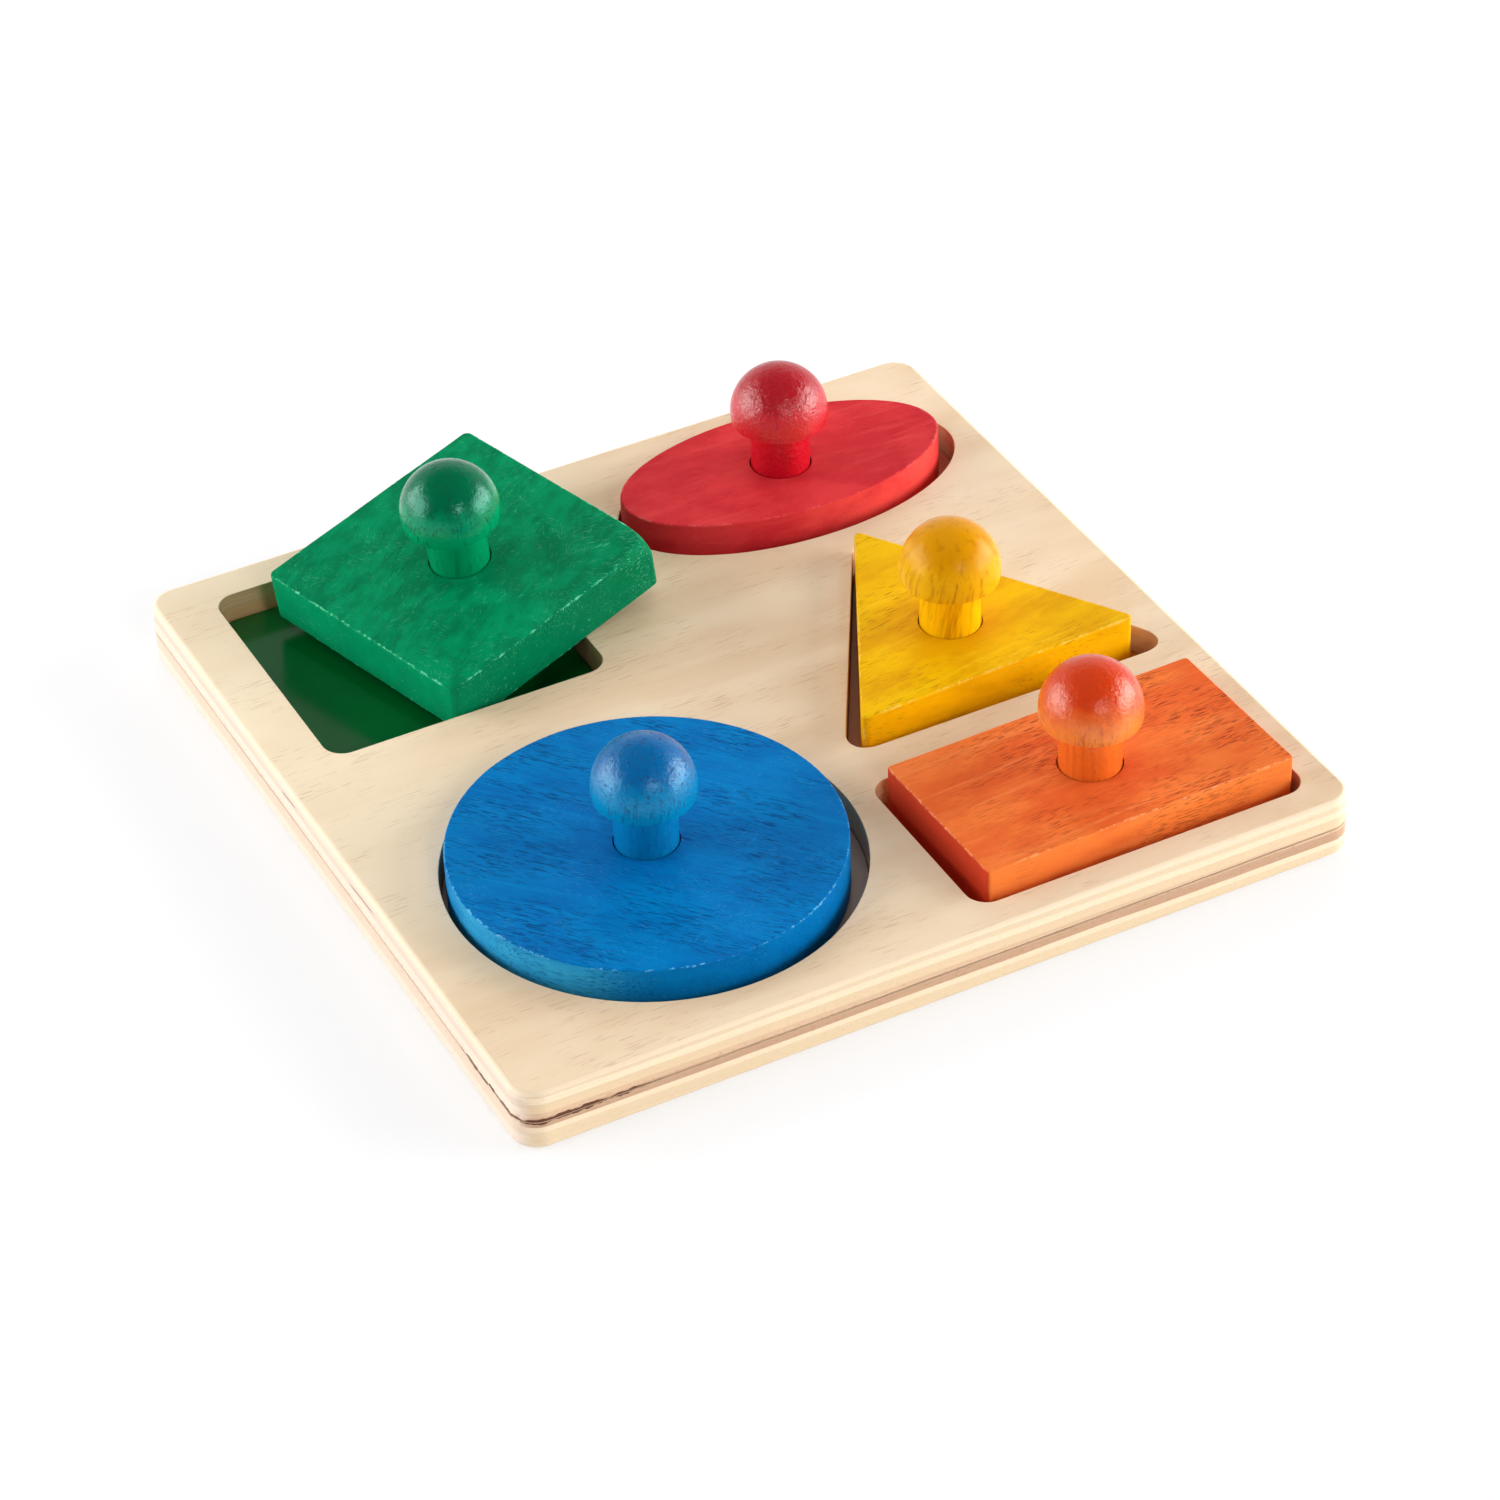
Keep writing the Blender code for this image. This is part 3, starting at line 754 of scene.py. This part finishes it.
def knobWood(name, look, seat):
    finish = Finish(name, seat)
    upward = finish.toward(seat.to_3x3() @ Vector((0, 0, 1)))
    shift = look["shift"]
    grain = finish.node("ShaderNodeMapping", {"vector_type": "TEXTURE"},
                        {0: finish.place, 2: look["lean"]})
    streaks = finish.noise((0.5, 0.5, 0.025), detail=3, roughness=0.6, shift=shift, where=grain)
    pores = finish.noise((2.0, 2.0, 0.2), detail=1, shift=shift, where=grain)
    pits = finish.noise((0.9, 0.9, 1.1), detail=2, shift=shift)
    mottle = finish.noise((0.14, 0.14, 0.1), detail=4, roughness=0.6, shift=shift)
    peel = finish.noise((0.5, 0.5, 0.5), detail=4, roughness=0.65, shift=shift)

    # low on the ball and on the stem the grain stands upright; the crown is end grain, pitted
    crown = finish.step(upward + (mottle - 0.5) * 0.5, 0.1, 0.6)
    spots = finish.step(pores, look["poreFrom"], look["poreFrom"] + 0.06)
    spots = spots * finish.step(mottle, 0.4, 0.6) * (1.0 - crown)
    pitted = finish.step(pits, 0.61, 0.66) * finish.step(upward, 0.05, 0.3)
    spots = pitted * look["pits"] + spots
    colour = finish.ramp(upward + (mottle - 0.5) * 0.6,
                         [(0.0, look["side"]), (0.38, look["body"]), (0.62, look["crown"])])
    along = finish.step(streaks, 0.5, 0.72) * (1.0 - crown * look["crownPlain"])
    colour = finish.blend(along * look["streaks"], colour, look["pore"])
    onStem = finish.step(finish.z, knob["underside"] / mm + 0.1, knob["underside"] / mm - 0.1)
    streaked = finish.step(streaks, 0.45, 0.75) * look["streaks"]
    stem = finish.blend(streaked, look["stem"], look["pore"])
    colour = finish.blend(onStem, colour, stem)
    colour = finish.blend(spots * look["pores"] * (1.0 - 0.5 * onStem), colour, look["pore"])
    relief = mottle * 0.3 + peel * look["peel"] - spots * 0.12
    roughness = look["sheen"] + 0.1 * mottle + spots * 0.22
    shine = {"Specular IOR Level": look["gloss"], "Specular Tint": look["tint"]}
    return finish.surface(colour, roughness, relief, depth=look["relief"], extra=shine)


def turnKnob():  # one knob, standing on its block's own frame
    bpy.ops.mesh.primitive_uv_sphere_add(segments=96, ring_count=64, radius=knob["ball"],
                                         location=(0, 0, knob["middle"]))
    piece = bpy.context.object
    settle(piece)
    pick(piece, "FACE", lambda face: True)
    bpy.ops.mesh.bisect(plane_co=(0, 0, knob["underside"]), plane_no=(0, 0, 1), use_fill=True,
                        clear_inner=True, threshold=hair)
    leave()
    rim = math.sqrt(knob["ball"] ** 2 - (knob["middle"] - knob["underside"]) ** 2)
    ringFace = 1e-4  # square metres: more than a face of the ring, less than the stem's disc

    def underside(face):
        return all(abs(point.co.z - knob["underside"]) < hair for point in face.verts)

    def ring(nearest, furthest):
        return lambda edge: levelAt(knob["underside"])(edge) and all(
            nearest < point.co.to_2d().length < furthest for point in edge.verts)

    pick(piece, "FACE", underside)
    bpy.ops.mesh.inset(thickness=rim - knob["stem"])
    leave()
    pick(piece, "FACE", lambda face: underside(face) and face.calc_area() > ringFace)
    drop = (0, 0, knob["foot"] - knob["underside"])
    bpy.ops.mesh.extrude_region_move(TRANSFORM_OT_translate={"value": drop})
    leave()
    bevelEdges(piece, ring(rim - 0.1 * mm, rim + mm), knob["undersideRadius"], segments=5)
    bevelEdges(piece, ring(0, knob["stem"] + 0.2 * mm), knob["neckRadius"], segments=3)
    smooth(piece, angle=40)
    return piece


firstKnob = turnKnob()


def makeKnob(look, shape, seat):
    piece = firstKnob.copy()
    piece.data = firstKnob.data.copy()
    bpy.context.scene.collection.objects.link(piece)
    piece.matrix_world = seat
    settle(piece)
    name = look["name"]
    stand(piece, name, shape + "_piece", shape + "_knob", look["colour"] + "_lacquered_knob",
          knobWood(name + "Lacquer", look, seat))


greenKnob = {
    "name": "greenKnob", "colour": "green", "shift": (1, 0, 0), "lean": (0.05, 0.0, 0.0),
    "crownPlain": 1.0,
    "side": seen(0, 146, 92), "body": seen(0, 134, 90), "crown": seen(0, 98, 62),
    "stem": seen(0, 143, 88), "pore": seen(0, 50, 30),
    "pores": 0.85, "poreFrom": 0.59, "streaks": 0.3, "pits": 0.7, "peel": 0.9, "relief": 0.2,
    "sheen": 0.12, "gloss": 0.42, "tint": seen(170, 255, 238),
}
redKnob = {
    "name": "redKnob", "colour": "red", "shift": (2, 5, 0), "lean": (0.1, 0.05, 0.0),
    "crownPlain": 0.5,
    "side": seen(206, 33, 44), "body": seen(198, 34, 46), "crown": seen(168, 22, 34),
    "stem": seen(200, 12, 34), "pore": seen(134, 14, 26),
    "pores": 0.4, "poreFrom": 0.65, "streaks": 0.3, "pits": 0.3, "peel": 1.2, "relief": 0.36,
    "sheen": 0.13, "gloss": 0.6, "tint": seen(255, 246, 242),
}
yellowKnob = {
    "name": "yellowKnob", "colour": "yellow", "shift": (3, 9, 0), "lean": (0.14, 0.12, 0.0),
    "crownPlain": 0.2,
    "side": seen(234, 178, 14), "body": seen(228, 166, 2), "crown": seen(210, 141, 0),
    "stem": seen(246, 188, 4), "pore": seen(178, 106, 0),
    "pores": 0.6, "poreFrom": 0.6, "streaks": 0.75, "pits": 0.15, "peel": 0.5, "relief": 0.1,
    "sheen": 0.24, "gloss": 0.24, "tint": seen(255, 240, 170),
}
blueKnob = {
    "name": "blueKnob", "colour": "blue", "shift": (4, 2, 0), "lean": (0.0, 0.06, 0.0),
    "crownPlain": 1.0,
    "side": seen(0, 130, 178), "body": seen(0, 120, 174), "crown": seen(0, 94, 154),
    "stem": seen(0, 114, 170), "pore": seen(0, 52, 104),
    "pores": 0.75, "poreFrom": 0.59, "streaks": 0.22, "pits": 1.0, "peel": 1.0, "relief": 0.28,
    "sheen": 0.18, "gloss": 0.46, "tint": seen(200, 242, 255),
}
orangeKnob = {
    "name": "orangeKnob", "colour": "orange", "shift": (5, 7, 0), "lean": (0.04, 0.0, 0.0),
    "crownPlain": 1.0,
    "side": seen(236, 132, 56), "body": seen(220, 88, 30), "crown": seen(202, 56, 12),
    "stem": seen(234, 110, 34), "pore": seen(160, 58, 20),
    "pores": 0.65, "poreFrom": 0.6, "streaks": 0.35, "pits": 0.5, "peel": 1.0, "relief": 0.3,
    "sheen": 0.15, "gloss": 0.56, "tint": seen(255, 250, 232),
}
makeKnob(greenKnob, "square", greenSquare["seat"])
makeKnob(redKnob, "oval", redOval["seat"])
makeKnob(yellowKnob, "triangle", yellowTriangle["seat"])
makeKnob(blueKnob, "round", blueRound["seat"])
makeKnob(orangeKnob, "rectangle", orangeRectangle["seat"])
bpy.data.objects.remove(firstKnob)
print("knobs made")


# The screws are zinc plated
screws = {"bright": seen(214, 212, 206), "dull": seen(176, 172, 164), "roughness": 0.28,
          "uneven": 0.2}
screwFinish = Finish("zincPlate")
grime = screwFinish.noise((0.5, 0.5, 0.5), detail=3)
plating = screwFinish.blend(grime, screws["bright"], screws["dull"])
screwFinish.surface(plating, screws["roughness"] + screws["uneven"] * grime,
                    extra={"Metallic": 1.0})
for shape in outlines:
    dress(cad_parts[shape + "_knob_screw"], screwFinish.material)
print("screws finished")


# Pale floor, a broad low softbox either side, a small lamp beside the lens, and soft fills
# in front, behind and above. Degrees, metres and watts; the azimuth is counted from +X.
studio = {
    "leftBox": {"azimuth": 152, "height": 13, "away": 2.6, "size": (2.8, 2.0),
                "power": 103.0, "mirrored": True},
    "rightBox": {"azimuth": -22, "height": 16, "away": 2.6, "size": (2.6, 1.3),
                 "power": 90.0, "mirrored": True},
    "lensLamp": {"azimuth": 269, "height": 31, "away": 3.0, "size": (0.6, 0.6),
                 "power": 15.0, "mirrored": True},
    "frontFill": {"azimuth": 292, "height": 18, "away": 3.0, "size": (2.4, 1.6),
                  "power": 9.0, "mirrored": False},
    "backFill": {"azimuth": 57, "height": 28, "away": 2.6, "size": (2.6, 1.4),
                 "power": 28.0, "mirrored": False},
    "topFill": {"azimuth": 90, "height": 82, "away": 2.6, "size": (2.0, 2.0),
                "power": 14.5, "mirrored": False},
}
worldLevel = {"ambient": 0.21, "dark": 0.05, "farSide": 0.8, "backdrop": 1.0}
floorLook = {"size": 8.0, "drop": 0.05 * mm, "paper": seen(250, 250, 252), "glow": 0.55}
for name, look in studio.items():
    lamp = bpy.data.lights.new(name, "AREA")
    lamp.shape = "RECTANGLE"
    lamp.size, lamp.size_y = look["size"]
    lamp.energy = look["power"]
    holder = bpy.data.objects.new(name, lamp)
    bpy.context.scene.collection.objects.link(holder)
    turn, climb = math.radians(look["azimuth"]), math.radians(look["height"])
    direction = Vector((math.cos(turn) * math.cos(climb), math.sin(turn) * math.cos(climb),
                        math.sin(climb)))
    holder.location = direction * look["away"]
    holder.rotation_euler = direction.to_track_quat("Z", "Y").to_euler()
    holder.visible_glossy = look["mirrored"]
    holder.visible_camera = False


class Backdrop(Finish):  # the world's nodes, made with the same words
    def __init__(self, world):
        self.tree = world.node_tree
        self.tree.nodes.clear()


world = bpy.data.worlds.new("studioWorld")
world.use_nodes = True
bpy.context.scene.world = world
air = Backdrop(world)
_, depth, height = air.split(air.node("ShaderNodeTexCoord", output="Generated"))
# in reflections only the far side is bright
behind = air.step(height, 0.8, 0.45) * air.step(depth, -0.3, 0.4)
mirrored = worldLevel["dark"] + (worldLevel["farSide"] - worldLevel["dark"]) * behind
isCamera, isMirrored, isThrough = air.rays()
strength = air.node("ShaderNodeMix", None,
                    {0: isMirrored.over(isThrough), 2: worldLevel["ambient"], 3: mirrored})
strength = air.node("ShaderNodeMix", None, {0: isCamera, 2: strength, 3: worldLevel["backdrop"]})
air.close(air.node("ShaderNodeBackground", None, {"Strength": strength}), "ShaderNodeOutputWorld")

bpy.ops.mesh.primitive_plane_add(size=floorLook["size"], location=(0, 0, -floorLook["drop"]))
floor = bpy.context.object
floor.name = "floor"
settle(floor)
paleFloor = Finish("paleFloor")
paper = paleFloor.node("ShaderNodeBsdfDiffuse", None, {"Color": floorLook["paper"]})
light = paleFloor.node("ShaderNodeEmission", None, {"Color": (1, 1, 1, 1), "Strength": 1.0})
isCamera, isMirrored, isThrough = paleFloor.rays()
share = isCamera.over(isMirrored).over(isThrough) * floorLook["glow"]
paleFloor.close(paleFloor.node("ShaderNodeMixShader", None, {0: share, 1: paper, 2: light}))
dress(floor, paleFloor.material)
floor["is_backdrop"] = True
print("studio set")


# Long lens, from the front left and above, in degrees and millimetres
camera = {"azimuth": -26.48, "elevation": 37.67, "roll": -2.13, "away": 1493.22,
          "aim": (3.06, -4.93, 0.0), "focalPixels": 4763.21, "middlePixel": 749.15,
          "pixels": 1500, "sensor": 36.0, "reach": 20000.0}
azimuth, elevation, roll = (math.radians(camera[angle])
                            for angle in ("azimuth", "elevation", "roll"))
back = Vector((math.sin(azimuth) * math.cos(elevation), -math.cos(azimuth) * math.cos(elevation),
               math.sin(elevation)))
right = Vector((math.cos(azimuth), math.sin(azimuth), 0))
up = back.cross(right)
turnedRight = right * math.cos(roll) + up * math.sin(roll)
turnedUp = up * math.cos(roll) - right * math.sin(roll)
lens = bpy.data.cameras.new("camera")
lens.sensor_width = camera["sensor"]
lens.sensor_fit = "HORIZONTAL"
lens.lens = camera["focalPixels"] / camera["pixels"] * camera["sensor"]
lens.shift_x = (camera["pixels"] / 2 - camera["middlePixel"]) / camera["pixels"]
lens.clip_end = camera["reach"] * mm
eye = bpy.data.objects.new("camera", lens)
bpy.context.scene.collection.objects.link(eye)
place = Matrix.Translation((Vector(camera["aim"]) + back * camera["away"]) * mm)
eye.matrix_world = place @ Matrix((turnedRight, turnedUp, back)).transposed().to_4x4()
bpy.context.scene.camera = eye
bpy.context.scene.view_settings.view_transform = "Standard"
print("camera set")

low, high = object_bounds()
